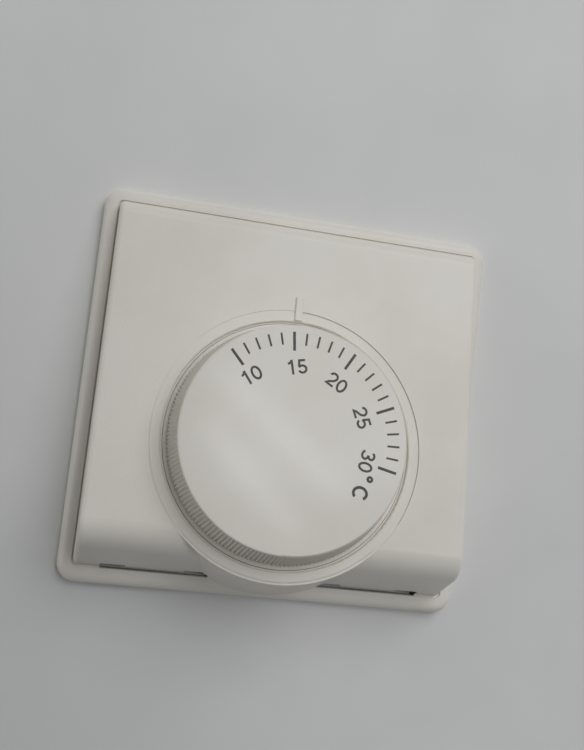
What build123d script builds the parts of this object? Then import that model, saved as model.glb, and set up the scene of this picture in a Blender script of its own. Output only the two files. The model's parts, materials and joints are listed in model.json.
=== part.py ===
from build123d import *
import os
from math import cos, degrees, pi, radians, sin, tan

# Dial room thermostat for a wall.
#
# Every piece is drawn on the bench, with the back plate lying on its back: X runs across the
# plate, Y up it and Z out from the wall. stand_up() then turns the finished piece, so that in
# the files Z is up, the dial looks along -Y and the origin is the middle of the back face.
# The dial and the mechanism lie square to the sloping face, so they are drawn in the dial's
# own frame, whose zero is the face at the dial's centre, and placed with on_dial().

# Casing
WIDTH = 87.0
HEIGHT = 84.2
RIM_DEPTH = 3.6
RIM_SIDE = 3.2
RIM_TOP = 3.0
RIM_FOOT = 3.8
PLATE_CORNER = 4.0
PLATE_EDGE = 2.0
PLATE_STEP = 0.3
PLATE_STEP_DEPTH = 0.8
FLOOR = 2.0
SEAT_DROP = 0.5
SEAT_GAP = 0.3
COVER_WALL = 2.0
COVER_EDGE = 1.1
DRAFT = 2.0
FACE_DEPTH = 12.9
FACE_TILT = 9.3
FOOT_SLANT = 24.0
FOOT_ROLL = 6.0
TOP_ROLL = 3.5
ROLL_SHARE = 0.95
DEEP = 40.0
MARGIN = 1.0

# Dial collar, setting mark and vents of the cover
DIAL_HEIGHT = -8.3
WELL_RADIUS = 26.2
COLLAR_WALL = 2.2
COLLAR_DEPTH = 4.4
COLLAR_EDGE = 0.35
BOSS_DRAFT = 8.0
BOSS_EDGE = 0.5
GROOVE = 0.3
MARK_WIDTH = 1.6
MARK_RISE = 0.5
MARK_REACH = 3.3
VENT_START = 12.0
VENT_END = 34.6
VENT_HEIGHT = 1.0
VENT_END_HEIGHT = 1.9
VENT_END_LENGTH = 5.0
VENT_CHANNEL = 1.2

# Knob
WELL_GAP = 0.45
FLANGE_STEP = 2.35
KNOB_TAPER = 12.0
KNOB_HEIGHT = 7.4
KNOB_SINK = 1.5
KNOB_WALL = 1.6
KNOB_EDGE = 0.35
FLANGE_HEIGHT = 0.9
GRIP_TEETH = 180
GRIP_DEPTH = 0.45
GRIP_START = 0.4
HUB_WALL = 2.5
LEAST_READING = 10.0
GREATEST_READING = 30.0
REST_READING = 15.65
DEGREES_PER_READING = 7.2
STOP_WALL = 1.4
STOP_TAB = 6.0
STOP_RISE = 4.2
STOP_CLEARANCE = 0.3

# Setting spindle and its bearing
SPINDLE_RADIUS = 3.0
RUNNING = 0.04
END_PLAY = 0.05
CLOSE = 0.05
BUSH_WALL = 1.0
BUSH_FLANGE = 0.8
BUSH_TAIL = 1.0
CLIP_THICKNESS = 0.55
CLIP_REACH = 1.7
CLIP_GROOVE = 0.8
SHOULDER_REACH = 1.4
SHOULDER = 0.65
FLAT_DEPTH = 0.9
SPRING_THICKNESS = 0.4

# Bridge of bent steel strip
BRIDGE_LEVEL = -0.4
SHEET = 1.2
BRIDGE_WIDTH = 14.0
BRIDGE_ARM = 26.0
BRIDGE_ARM_WIDTH = 9.0
CAPSULE_GAP = 2.2
FOOT_LENGTH = 6.8
FOOT_LEVEL = -6.8
BEND = 1.4
SCREW_RADIUS = 1.3
SCREW_LENGTH = 3.8
SCREW_SPACING = 8.0
HEAD_RADIUS = 2.0
HEAD_HEIGHT = 1.5
SCREW_SLOT = 0.5
POST_LENGTH = 5.6

# Setting nut and gas capsule
NUT_GAP = 0.9
NUT_THICKNESS = 2.0
NUT_LENGTH = 26.0
NUT_WIDTH = 9.0
PIN_RADIUS = 1.5
PIN_SPACING = 21.0
PIN_SHORT = 0.2
THREAD_SHORT = 0.7
CAPSULE_RADIUS = 13.2
CAPSULE_DEPTH = 2.9
CAPSULE_BOSS = 0.4
CAPSULE_BOSS_RADIUS = 4.5
CAPSULE_METAL = 0.4
CAPSULE_STEP = 1.0
PUSHER_RADIUS = 3.0
PUSHER_REACH = 0.7
WORK_GAP = 0.3

# Switch lever
LEVER_SHEET = 0.8
LEVER_WIDTH = 7.0
PIVOT_GAP = 6.8
PIVOT_RADIUS = 1.0
PIVOT_CLEARANCE = 0.05
EYE_RADIUS = 1.6
EAR_GAP = 0.7
EAR_THICKNESS = 2.0
EAR_WIDTH = 4.4
TIP_GAP = 8.3
TIP_WIDTH = 5.0
TIP_RISE = 4.6
CRANK_GAP = 1.8
CRANK_LENGTH = 1.8
SETTER_RADIUS = 1.2
SETTER_HEAD = 1.8
SETTER_HEAD_HEIGHT = 0.8
SETTER_REACH = 0.9

# Switch
BLADE_SHEET = 0.3
BLADE_WIDTH = 5.0
BLADE_ROOT = -15.0
BLADE_CLAMP = 5.0
BLADE_TIP = 11.2
CONTACT_Y = 6.6
CONTACT_RADIUS = 1.6
CONTACT_HEIGHT = 0.4
CONTACT_GAP = 1.5
ARMATURE_LENGTH = 2.0
ARMATURE_THICKNESS = 0.8
BRACKET_SHEET = 0.6
BRACKET_WIDTH = 4.0
BRACKET_INSET = 3.7
BRACKET_LENGTH = 5.1
BRACKET_FOOT = -9.6
MAGNET_LENGTH = 5.0
MAGNET_THICKNESS = 2.6
MAGNET_HEIGHT = 2.8
MAGNET_GAP = 0.8
MAGNET_SINK = 0.9

# Wiring
TERMINALS = 4
TERMINAL_PITCH = 4.5
TERMINAL_INSET = 11.5
TERMINAL_Y = -27.8
TERMINAL_LENGTH = 9.0
TERMINAL_HEIGHT = 8.0
TERMINAL_WALL = 0.8
CLAMP_HEIGHT = 5.4
CLAMP_METAL = 0.6
BUSBAR_WIDTH = 1.1
BUSBAR_SHEET = 0.5
BUSBAR_GAP = 0.3
RESISTOR_RADIUS = 1.6
RESISTOR_LENGTH = 6.5
RESISTOR_X = -10.2
RESISTOR_Y = -17.4
RESISTOR_LEVEL = -11.2
LEAD_RADIUS = 0.35

# Fixings
SLOT_SPACING = 60.0
SLOT_HEIGHT = 24.0
SLOT_RADIUS = 2.2
SLOT_LENGTH = 7.0
ENTRY_WIDTH = 12.4
ENTRY_HEIGHT = 18.0
ENTRY_INSET = 10.9
ENTRY_Y = 9.4
ENTRY_CORNER = 2.0
COVER_SCREW_INSET = 3.6
COVER_SCREW_ANGLE = 135.0
COVER_SCREW_LENGTH = 6.0
HEAD_CHAMFER = 0.25
LUG_RADIUS = 3.2
LUG_LEVEL = -3.4
LUG_THICKNESS = 1.6
RIB_LENGTH = 8.0
RIB_THICKNESS = 1.2
RIB_RISE = 2.0
RIB_HEIGHTS = (22.0, -17.0)
HOOK_SPACING = 44.0
HOOK_WIDTH = 6.0
HOOK_THICKNESS = 1.2
HOOK_CATCH = 0.8

# Sizes that follow from those above
SEAT = RIM_DEPTH - SEAT_DROP
TILT = radians(FACE_TILT)
COVER_HALF = WIDTH / 2 - RIM_SIDE
FOOT_Y = -HEIGHT / 2 + RIM_FOOT
TOP_Y = HEIGHT / 2 - RIM_TOP
COLLAR_RADIUS = WELL_RADIUS + COLLAR_WALL
FLANGE_RADIUS = WELL_RADIUS - WELL_GAP
KNOB_RADIUS = FLANGE_RADIUS - FLANGE_STEP
COVER_SCREW_RADIUS = WELL_RADIUS - COVER_SCREW_INSET
HUB_RADIUS = SPINDLE_RADIUS + HUB_WALL
CLIP_RADIUS = SPINDLE_RADIUS + CLIP_REACH
SHOULDER_RADIUS = SPINDLE_RADIUS + SHOULDER_REACH
LEG_REACH = CAPSULE_RADIUS + CAPSULE_GAP + SHEET / 2
FOOT_REACH = LEG_REACH + FOOT_LENGTH
PIVOT_X = -CAPSULE_RADIUS - PIVOT_GAP
TIP_X = CAPSULE_RADIUS + TIP_GAP
CRANK_START = CAPSULE_RADIUS + CRANK_GAP
BRACKET_END = COVER_HALF - BRACKET_INSET
BRACKET_LEG = BRACKET_END - BRACKET_LENGTH
TERMINAL_X = TERMINAL_INSET - COVER_HALF
ENTRY_X = ENTRY_INSET - COVER_HALF
KNOB_UNDER = KNOB_HEIGHT - KNOB_WALL
GRIP_FOOT = FLANGE_HEIGHT - KNOB_SINK
GRIP_TOP = KNOB_HEIGHT - GRIP_START
BRIDGE_UNDER = BRIDGE_LEVEL - SHEET
BUSH_TOP = BRIDGE_LEVEL + BUSH_FLANGE
BUSH_LOW = BRIDGE_UNDER - BUSH_TAIL
CLIP_LOW = BUSH_TOP + END_PLAY
CLIP_TOP = CLIP_LOW + CLIP_THICKNESS
HUB_LOW = CLIP_TOP + CLIP_THICKNESS
SPINDLE_TOP = KNOB_UNDER - END_PLAY
SHOULDER_TOP = BUSH_LOW - END_PLAY
SHOULDER_LOW = SHOULDER_TOP - SHOULDER
NUT_TOP = SHOULDER_LOW - NUT_GAP
NUT_LOW = NUT_TOP - NUT_THICKNESS
SPINDLE_LOW = NUT_LOW + THREAD_SHORT
PIN_LOW = NUT_LOW + PIN_SHORT
CAPSULE_TOP = NUT_LOW - CAPSULE_BOSS
CAPSULE_LOW = CAPSULE_TOP - CAPSULE_DEPTH
PUSHER_TIP = CAPSULE_LOW - PUSHER_REACH
LEVER_TOP = PUSHER_TIP - WORK_GAP
LEVER_LOW = LEVER_TOP - LEVER_SHEET
PIVOT_Z = LEVER_LOW + EYE_RADIUS
TIP_LOW = LEVER_LOW + TIP_RISE
TIP_TOP = TIP_LOW + LEVER_SHEET
SETTER_LOW = TIP_LOW - SETTER_REACH
BLADE_TOP = SETTER_LOW - WORK_GAP
BLADE_LOW = BLADE_TOP - BLADE_SHEET
CONTACT_FACE = BLADE_TOP + CONTACT_HEIGHT + CONTACT_GAP
BRACKET_LOW = CONTACT_FACE + CONTACT_HEIGHT
BRACKET_TOP = BRACKET_LOW + BRACKET_SHEET
FOOT_TOP = FOOT_LEVEL + SHEET
STOP_RADIUS = LEG_REACH
BLADE_SCREW_Y = BLADE_ROOT - BLADE_CLAMP / 2
BRACKET_SCREW_X = (BRACKET_LEG + BRACKET_END + BRACKET_SHEET) / 2
LOWER_LANE = FOOT_Y + COVER_WALL + SEAT_GAP + BUSBAR_GAP / 2 + BUSBAR_WIDTH / 2
UPPER_LANE = LOWER_LANE + BUSBAR_WIDTH + BUSBAR_GAP
LEAST_TURN = (LEAST_READING - REST_READING) * DEGREES_PER_READING
GREATEST_TURN = (GREATEST_READING - REST_READING) * DEGREES_PER_READING

STANDING = (Align.CENTER, Align.CENTER, Align.MIN)


def face_depth(height):
    """Depth of the sloping face above the wall, at a height up the plate."""
    return FACE_DEPTH - tan(TILT) * height


DIAL = Plane(
    origin=(0, DIAL_HEIGHT, face_depth(DIAL_HEIGHT)),
    x_dir=(1, 0, 0),
    z_dir=(0, sin(TILT), cos(TILT)),
)


def floor_level(height):
    """Level of the plate's floor in the dial's frame, at a height up the dial."""
    return (FLOOR - DIAL.origin.Z + sin(TILT) * height) / cos(TILT)


def floor_height(height):
    """Where a post that stands square to the dial, at a height up it, meets the plate's floor."""
    return DIAL_HEIGHT + cos(TILT) * height + sin(TILT) * floor_level(height)


def on_dial(shape):
    return DIAL.location * shape


def stand_up(shape):
    return Rot(90, 0, 0) * shape


def rod(radius, low, high, x=0.0, y=0.0):
    return Pos(x, y, low) * Cylinder(radius, high - low, align=STANDING)


def tube(outer, inner, low, high, x=0.0, y=0.0):
    return rod(outer, low, high, x, y) - rod(inner, low - MARGIN, high + MARGIN, x, y)


def block(length, width, low, high, x=0.0, y=0.0):
    return Pos(x, y, low) * Box(length, width, high - low, align=STANDING)


def plate_of(outline, low, high):
    """A flat outline raised between two levels."""
    return Pos(0, 0, low) * extrude(outline, amount=high - low)


def bent_strip(points, thickness, width, bend):
    """Sheet strip bent along points (along, up) and centred on its width, which lies across X."""
    line = FilletPolyline(*points, radius=bend)
    return extrude(Plane.YZ * trace(line, line_width=thickness), amount=width / 2, both=True)


def above_floor(shape, sink=0.5):
    """The part of a post that stands on the floor, rooted a little way into it."""
    room = block(WIDTH, HEIGHT, FLOOR - sink, DEEP)
    return shape & room


# ---------------------------------------------------------------- casing


def top_roll():
    """Radius of the cover's rolled top edge, limited by the height of the wall below it."""
    wall = face_depth(TOP_Y) - SEAT
    return min(TOP_ROLL, ROLL_SHARE * wall / tan((pi / 2 - TILT) / 2))


def cover_outline(inset):
    """Side outline of the cover, inset by a wall: slanted foot, rolled edge, sloping face."""
    lean = radians(FOOT_SLANT)
    low = SEAT if inset == 0 else FLOOR - MARGIN
    foot = FOOT_Y + inset / cos(lean)
    top = TOP_Y - inset
    drop = inset / cos(TILT)
    rise = (face_depth(foot) - drop - SEAT) / (1 + tan(TILT) * tan(lean))
    corner = (foot + rise * tan(lean), SEAT + rise)
    crown = (top, face_depth(top) - drop)
    start = (foot - (SEAT - low) * tan(lean), low)
    outline = make_face(Polyline(start, corner, crown, (top, low), close=True))
    roll = outline.vertices().sort_by_distance((*corner, 0))[0]
    outline = fillet(roll, FOOT_ROLL - inset)
    brow = outline.vertices().sort_by_distance((*crown, 0))[0]
    return fillet(brow, top_roll() - inset)


def cover_footprint(grow):
    """Plan outline of the cover's foot, grown or (when negative) shrunk."""
    width = 2 * COVER_HALF + 2 * grow
    height = TOP_Y - FOOT_Y + 2 * grow
    middle = (TOP_Y + FOOT_Y) / 2
    return Pos(0, middle) * RectangleRounded(width, height, COVER_EDGE)


def cover_form(inset):
    """The cover's wedge as a solid: its side outline across the width, with drafted sides."""
    low = SEAT if inset == 0 else FLOOR - MARGIN
    wedge = extrude(Plane.YZ * cover_outline(inset), amount=WIDTH, both=True)
    sides = Rectangle(2 * COVER_HALF - 2 * inset, 2 * HEIGHT)
    return wedge & Pos(0, 0, low) * extrude(sides, amount=DEEP / 2, taper=DRAFT)


def vent_cuts():
    """Slots through the cover's foot: thin along their middle and taller at both ends."""
    cuts = Part()
    length = VENT_END - VENT_START
    for side in (-1, 1):
        middle = side * (VENT_START + VENT_END) / 2
        cuts += block(length, 2 * COVER_WALL, SEAT - MARGIN, SEAT + VENT_HEIGHT, middle, FOOT_Y)
        for end in (-1, 1):
            x = middle + end * (length - VENT_END_LENGTH) / 2
            cuts += block(VENT_END_LENGTH, 2 * COVER_WALL, SEAT - MARGIN, SEAT + VENT_END_HEIGHT, x, FOOT_Y)
    return cuts


def vent_channels():
    """Air channels through the back plate, behind the cover's vents."""
    channels = Part()
    length = VENT_END - VENT_START
    y = FOOT_Y + (VENT_CHANNEL - SEAT_GAP) / 2
    for side in (-1, 1):
        middle = side * (VENT_START + VENT_END) / 2
        channels += block(length, VENT_CHANNEL + SEAT_GAP, -MARGIN, SEAT + MARGIN, middle, y)
    return channels


def boss(radius, low, high):
    """Round form with the boss's draft: it has the radius at level 0 and widens below it."""
    slope = tan(radians(BOSS_DRAFT))
    cone = Cone(radius - slope * low, radius - slope * high, high - low, align=STANDING)
    return Pos(0, 0, low) * cone


def collar_boss():
    """The boss round the knob: it stands on the rim at its foot, and is sunk in the face elsewhere."""
    solid = boss(COLLAR_RADIUS, -DEEP / 2, 0)
    solid = fillet(solid.edges().group_by(Axis.Z)[-1], BOSS_EDGE)
    reach = plate_of(cover_footprint(0), SEAT, RIM_DEPTH) + block(WIDTH, HEIGHT, RIM_DEPTH, DEEP)
    return on_dial(solid) & reach


def well_mouth():
    """What is cut away to round the well's edge."""
    corner = tube(WELL_RADIUS + COLLAR_EDGE, WELL_RADIUS - COLLAR_EDGE, -COLLAR_EDGE, DEEP)
    return corner - Pos(0, 0, -COLLAR_EDGE) * Torus(WELL_RADIUS + COLLAR_EDGE, COLLAR_EDGE)


def setting_mark():
    reach = COLLAR_RADIUS + MARK_REACH
    length = reach - WELL_RADIUS + MARGIN
    bar = block(MARK_WIDTH, length, -COVER_WALL / 2, MARK_RISE, 0, reach - length / 2)
    return fillet(bar.edges().group_by(Axis.Z)[-1], MARK_RISE / 2)


def lug_place():
    angle = radians(COVER_SCREW_ANGLE)
    return COVER_SCREW_RADIUS * cos(angle), COVER_SCREW_RADIUS * sin(angle)


def cover_lug():
    """Ear inside the well that the cover's screw passes through."""
    x, y = lug_place()
    ear = rod(LUG_RADIUS, LUG_LEVEL - LUG_THICKNESS, LUG_LEVEL, x, y)
    root = Rot(0, 0, COVER_SCREW_ANGLE) * block(
        COLLAR_RADIUS - COVER_SCREW_RADIUS - COLLAR_EDGE,
        2 * LUG_RADIUS,
        LUG_LEVEL - LUG_THICKNESS,
        LUG_LEVEL,
        (COLLAR_RADIUS + COVER_SCREW_RADIUS - COLLAR_EDGE) / 2,
    )
    return ear + root - rod(SCREW_RADIUS + SEAT_GAP, -DEEP, DEEP, x, y)


def hook_places():
    y = TOP_Y - 2 * COVER_WALL - HOOK_THICKNESS / 2
    return [(side * HOOK_SPACING / 2, y) for side in (-1, 1)]


def cover_hooks():
    """Two hooks at the cover's top that catch behind the back plate."""
    hooks = Part()
    for x, y in hook_places():
        hooks += block(HOOK_WIDTH, HOOK_THICKNESS, HOOK_CATCH / 2, face_depth(y) - COVER_WALL / 2, x, y)
        barb_y = y + (HOOK_THICKNESS + HOOK_CATCH) / 2
        hooks += block(HOOK_WIDTH, HOOK_CATCH, HOOK_CATCH / 2, FLOOR / 2, x, barb_y)
    return hooks


def hook_slots():
    slots = Part()
    width = HOOK_WIDTH + 2 * SEAT_GAP
    for x, y in hook_places():
        slots += block(width, HOOK_THICKNESS + 2 * SEAT_GAP, -MARGIN, DEEP, x, y)
        pocket = 2 * HOOK_CATCH + HOOK_THICKNESS
        slots += block(width, pocket, -MARGIN, FLOOR / 2 + SEAT_GAP, x, y + HOOK_CATCH)
    return slots


def front_cover():
    form = cover_form(0)
    side_edges = [e for e in form.edges() if abs(e.center().X) > COVER_HALF / 2 and e.center().Z > SEAT]
    side_edges = [e for e in side_edges if e.bounding_box().size.Z > CLOSE]
    shell = fillet(side_edges, COVER_EDGE) + collar_boss()
    shell -= cover_form(COVER_WALL)
    shell -= on_dial(boss(COLLAR_RADIUS - COVER_WALL, -DEEP / 2, -COLLAR_DEPTH))
    shell += on_dial(tube(COLLAR_RADIUS, WELL_RADIUS, -COLLAR_DEPTH, -COVER_WALL / 2))
    shell -= on_dial(tube(COLLAR_RADIUS + GROOVE, COLLAR_RADIUS, -GROOVE, DEEP))
    shell += on_dial(setting_mark())
    shell -= on_dial(rod(WELL_RADIUS, -DEEP, DEEP) + well_mouth())
    shell += on_dial(cover_lug()) + cover_hooks()
    return shell - vent_cuts()


def screw_slot(side):
    slot = SlotOverall(SLOT_LENGTH, 2 * SLOT_RADIUS)
    return Pos(side * SLOT_SPACING / 2, SLOT_HEIGHT, -MARGIN) * extrude(slot, amount=DEEP)


def cable_entry():
    hole = RectangleRounded(ENTRY_WIDTH, ENTRY_HEIGHT, ENTRY_CORNER)
    return Pos(ENTRY_X, ENTRY_Y, -MARGIN) * extrude(hole, amount=DEEP)


def bridge_posts():
    posts = Part()
    pilots = Part()
    for side in (-1, 1):
        reach = side * (FOOT_REACH + LEG_REACH) / 2
        posts += block(BRIDGE_WIDTH, POST_LENGTH, -DEEP / 2, FOOT_LEVEL, 0, reach)
        for x in (-SCREW_SPACING / 2, SCREW_SPACING / 2):
            pilots += rod(SCREW_RADIUS, FOOT_TOP - SCREW_LENGTH, DEEP, x, reach)
    return posts, pilots


def pivot_ears():
    ears = Part()
    for side in (-1, 1):
        y = side * (LEVER_WIDTH / 2 + EAR_GAP + EAR_THICKNESS / 2)
        top = PIVOT_Z + EAR_WIDTH / 2
        ears += block(EAR_WIDTH, EAR_THICKNESS, -DEEP / 2, top, PIVOT_X, y)
    hole = Pos(PIVOT_X, 0, PIVOT_Z) * Rot(90, 0, 0) * Cylinder(PIVOT_RADIUS + CLOSE / 2, DEEP)
    return ears - hole


def lug_post():
    x, y = lug_place()
    top = LUG_LEVEL - LUG_THICKNESS - CLOSE
    pilot = rod(SCREW_RADIUS, LUG_LEVEL - COVER_SCREW_LENGTH, DEEP, x, y)
    return rod(LUG_RADIUS, -DEEP / 2, top, x, y), pilot


def contact_posts():
    """Posts of the contact blade and of the fixed contact's bracket, and their screws' holes."""
    length = BRACKET_END - BRACKET_LEG - BRACKET_SHEET
    posts = block(BLADE_WIDTH, BLADE_CLAMP, -DEEP / 2, BLADE_LOW, TIP_X, BLADE_SCREW_Y)
    posts += block(length, BRACKET_WIDTH, -DEEP / 2, BRACKET_FOOT, BRACKET_SCREW_X, CONTACT_Y)
    pilots = rod(SCREW_RADIUS, BLADE_TOP - SCREW_LENGTH, DEEP, TIP_X, BLADE_SCREW_Y)
    foot_top = BRACKET_FOOT + BRACKET_SHEET
    pilots += rod(SCREW_RADIUS, foot_top - SCREW_LENGTH, DEEP, BRACKET_SCREW_X, CONTACT_Y)
    return posts, pilots


def magnet_post():
    y = BLADE_TIP + MAGNET_GAP + MAGNET_THICKNESS / 2
    return block(MAGNET_LENGTH + MARGIN, MAGNET_THICKNESS, -DEEP / 2, BLADE_LOW - MAGNET_SINK, TIP_X, y)


def locating_ribs():
    """Short ribs that stand just inside the cover's sides."""
    ribs = Part()
    x = COVER_HALF - COVER_WALL - SEAT_GAP - RIB_THICKNESS / 2
    for side in (-1, 1):
        for y in RIB_HEIGHTS:
            ribs += block(RIB_THICKNESS, RIB_LENGTH, FLOOR / 2, SEAT + RIB_RISE, side * x, y)
    return ribs


def back_plate():
    slab = extrude(RectangleRounded(WIDTH, HEIGHT, PLATE_CORNER), amount=RIM_DEPTH)
    slab = fillet(slab.faces().sort_by(Axis.Z)[-1].edges(), PLATE_EDGE)
    foot = RectangleRounded(WIDTH - 2 * PLATE_STEP, HEIGHT - 2 * PLATE_STEP, PLATE_CORNER - PLATE_STEP)
    ring = Rectangle(WIDTH + MARGIN, HEIGHT + MARGIN) - foot
    slab -= plate_of(ring, -MARGIN, PLATE_STEP_DEPTH)
    slab -= plate_of(cover_footprint(SEAT_GAP), SEAT, RIM_DEPTH + MARGIN)
    return slab - plate_of(cover_footprint(-COVER_WALL - SEAT_GAP), FLOOR, RIM_DEPTH + MARGIN)


def base_plate():
    plate = back_plate() + locating_ribs() - cable_entry() - hook_slots() - vent_channels()
    for side in (-1, 1):
        plate -= screw_slot(side)
    posts, pilots = bridge_posts()
    lug, lug_pilot = lug_post()
    contacts, contact_pilots = contact_posts()
    plate += above_floor(on_dial(posts + lug + contacts + magnet_post() + pivot_ears()))
    return plate - on_dial(pilots + lug_pilot + contact_pilots)


def screw(radius, head_radius, head_height, length):
    """Slotted cylinder-head screw, its head standing on level 0."""
    body = rod(radius, -length, 0) + rod(head_radius, 0, head_height)
    slot = block(DEEP, SCREW_SLOT, head_height / 2, DEEP)
    return chamfer(body.faces().sort_by(Axis.Z)[-1].edges(), HEAD_CHAMFER) - slot


def cover_screw():
    x, y = lug_place()
    fixing = screw(SCREW_RADIUS - CLOSE, HEAD_RADIUS, HEAD_HEIGHT, COVER_SCREW_LENGTH - CLOSE)
    return on_dial(Pos(x, y, LUG_LEVEL) * fixing)


# ---------------------------------------------------------------- knob and spindle


def knob_radius(level):
    """Outside radius of the knob's tapered side at a level."""
    return KNOB_RADIUS + tan(radians(KNOB_TAPER)) * (KNOB_HEIGHT - level)


def knob_blank():
    foot = -KNOB_SINK
    inner = knob_radius(GRIP_FOOT) - KNOB_WALL
    profile = make_face(
        Polyline(
            (0, KNOB_UNDER),
            (knob_radius(KNOB_UNDER) - KNOB_WALL, KNOB_UNDER),
            (inner, foot),
            (FLANGE_RADIUS, foot),
            (FLANGE_RADIUS, GRIP_FOOT),
            (knob_radius(GRIP_FOOT), GRIP_FOOT),
            (KNOB_RADIUS, KNOB_HEIGHT),
            (0, KNOB_HEIGHT),
            close=True,
        )
    )
    edge = profile.vertices().sort_by_distance((KNOB_RADIUS, KNOB_HEIGHT, 0))[0]
    return revolve(Plane.XZ * fillet(edge, KNOB_EDGE), Axis.Z)


def grip_outline(radius):
    """Closed outline of the ribbed grip: one peak and one root for each tooth."""
    step = 2 * pi / GRIP_TEETH
    points = []
    for tooth in range(GRIP_TEETH):
        for turn, reach in ((0, radius), (step / 2, radius - GRIP_DEPTH)):
            points.append((reach * cos(tooth * step + turn), reach * sin(tooth * step + turn)))
    return make_face(Polyline(*points, close=True))


def grip_cut():
    """What is cut from the blank to leave the ribs of its grip."""
    lower = Pos(0, 0, GRIP_FOOT) * grip_outline(knob_radius(GRIP_FOOT))
    upper = Pos(0, 0, GRIP_TOP) * grip_outline(knob_radius(GRIP_TOP))
    ribs = loft([lower, upper], ruled=True)
    return tube(FLANGE_RADIUS + MARGIN, KNOB_RADIUS - 2 * GRIP_DEPTH, GRIP_FOOT, GRIP_TOP) - ribs


def spindle_outline(clearance, spring_room):
    """Round section with one flat, as the spindle's end and the hub's bore have."""
    radius = SPINDLE_RADIUS + clearance
    trim = Pos(0, spring_room - FLAT_DEPTH) * Rectangle(DEEP, 2 * radius)
    return Circle(radius) & trim


def stop_rib():
    """Curved rib under the knob's face, whose two ends meet the bridge's stop."""
    half_stop = degrees((STOP_TAB / 2 + STOP_CLEARANCE) / (STOP_RADIUS - STOP_WALL / 2))
    start = 90 - LEAST_TURN + half_stop
    span = 360 - (GREATEST_TURN - LEAST_TURN) - 2 * half_stop
    inner = Circle(STOP_RADIUS + STOP_WALL / 2) - Circle(STOP_RADIUS - STOP_WALL / 2)
    arms = CenterArc((0, 0), STOP_RADIUS + STOP_WALL, start, span)
    sector = make_face(Curve() + arms + Line((0, 0), arms @ 0) + Line((0, 0), arms @ 1))
    return plate_of(inner & sector, CLIP_TOP, KNOB_UNDER)


def dial_knob():
    knob = knob_blank() - grip_cut()
    hub = rod(HUB_RADIUS, HUB_LOW, KNOB_UNDER)
    knob += hub + stop_rib()
    bore = plate_of(spindle_outline(CLOSE, SPRING_THICKNESS), HUB_LOW - MARGIN, KNOB_UNDER)
    return on_dial(knob - bore)


def knob_clip():
    """Flat spring between the spindle's flat and the hub."""
    y = SPINDLE_RADIUS - FLAT_DEPTH + SPRING_THICKNESS / 2
    leaf = block(SPINDLE_RADIUS, SPRING_THICKNESS - CLOSE, HUB_LOW, SPINDLE_TOP, 0, y)
    return on_dial(leaf)


def setting_spindle():
    shaft = rod(SPINDLE_RADIUS, SPINDLE_LOW, HUB_LOW)
    shaft += plate_of(spindle_outline(0, 0), HUB_LOW, SPINDLE_TOP)
    shaft += rod(SHOULDER_RADIUS, SHOULDER_LOW, SHOULDER_TOP)
    low = CLIP_LOW - CLOSE / 2
    high = CLIP_TOP + CLOSE / 2
    groove = tube(SPINDLE_RADIUS + MARGIN, SPINDLE_RADIUS - CLIP_GROOVE, low, high)
    return on_dial(shaft - groove)


def spindle_clip():
    ring = tube(CLIP_RADIUS, SPINDLE_RADIUS - CLIP_GROOVE + CLOSE, CLIP_LOW, CLIP_TOP)
    mouth = block(2 * (SPINDLE_RADIUS - CLIP_GROOVE), CLIP_RADIUS, -DEEP, DEEP, 0, -CLIP_RADIUS / 2)
    return on_dial(ring - mouth)


def spindle_bush():
    barrel = SPINDLE_RADIUS + BUSH_WALL
    body = rod(barrel, BUSH_LOW, BUSH_TOP) + rod(barrel + BUSH_WALL, BRIDGE_LEVEL, BUSH_TOP)
    flare = Pos(0, 0, BUSH_LOW) * Cone(
        barrel + BUSH_WALL / 2, barrel + BUSH_WALL, BUSH_TAIL, align=STANDING
    )
    return on_dial(body + flare - rod(SPINDLE_RADIUS + RUNNING, -DEEP, DEEP))


def pin_places():
    return (-PIN_SPACING / 2, PIN_SPACING / 2)


def mechanism_frame():
    """Bridge: one strip bent over the capsule, with two side arms and an upturned stop."""
    foot = FOOT_LEVEL + SHEET / 2
    crown = BRIDGE_LEVEL - SHEET / 2
    half = ((FOOT_REACH, foot), (LEG_REACH, foot), (LEG_REACH, crown))
    points = [(-y, z) for y, z in half] + list(reversed(half))
    bridge = bent_strip(points, SHEET, BRIDGE_WIDTH, BEND)
    bridge += block(BRIDGE_ARM, BRIDGE_ARM_WIDTH, BRIDGE_UNDER, BRIDGE_LEVEL)
    bridge += block(STOP_TAB, SHEET, BRIDGE_UNDER - BEND, STOP_RISE, 0, LEG_REACH)
    reach = (FOOT_REACH + LEG_REACH) / 2
    for x in (-SCREW_SPACING / 2, SCREW_SPACING / 2):
        for y in (-reach, reach):
            bridge -= rod(SCREW_RADIUS + CLOSE, -DEEP, DEEP, x, y)
    for x in pin_places():
        bridge -= rod(PIN_RADIUS + CLOSE, -DEEP, DEEP, x)
    return on_dial(bridge - rod(SPINDLE_RADIUS + BUSH_WALL + CLOSE, -DEEP, DEEP))


def frame_screws():
    reach = (FOOT_REACH + LEG_REACH) / 2
    screws = []
    for x in (-SCREW_SPACING / 2, SCREW_SPACING / 2):
        for y in (-reach, reach):
            one = screw(SCREW_RADIUS - CLOSE, HEAD_RADIUS, HEAD_HEIGHT, SCREW_LENGTH - CLOSE)
            screws.append(on_dial(Pos(x, y, FOOT_TOP) * one))
    return Compound(screws)


# ---------------------------------------------------------------- setting nut and capsule


def guide_pins():
    pins = [on_dial(rod(PIN_RADIUS, PIN_LOW, BRIDGE_LEVEL, x)) for x in pin_places()]
    return Compound(pins)


def setting_nut():
    nut = plate_of(RectangleRounded(NUT_LENGTH, NUT_WIDTH, 2 * PIN_RADIUS), NUT_LOW, NUT_TOP)
    for x in pin_places():
        nut -= rod(PIN_RADIUS + CLOSE, -DEEP, DEEP, x)
    return on_dial(nut - rod(SPINDLE_RADIUS + CLOSE, -DEEP, DEEP))


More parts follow.
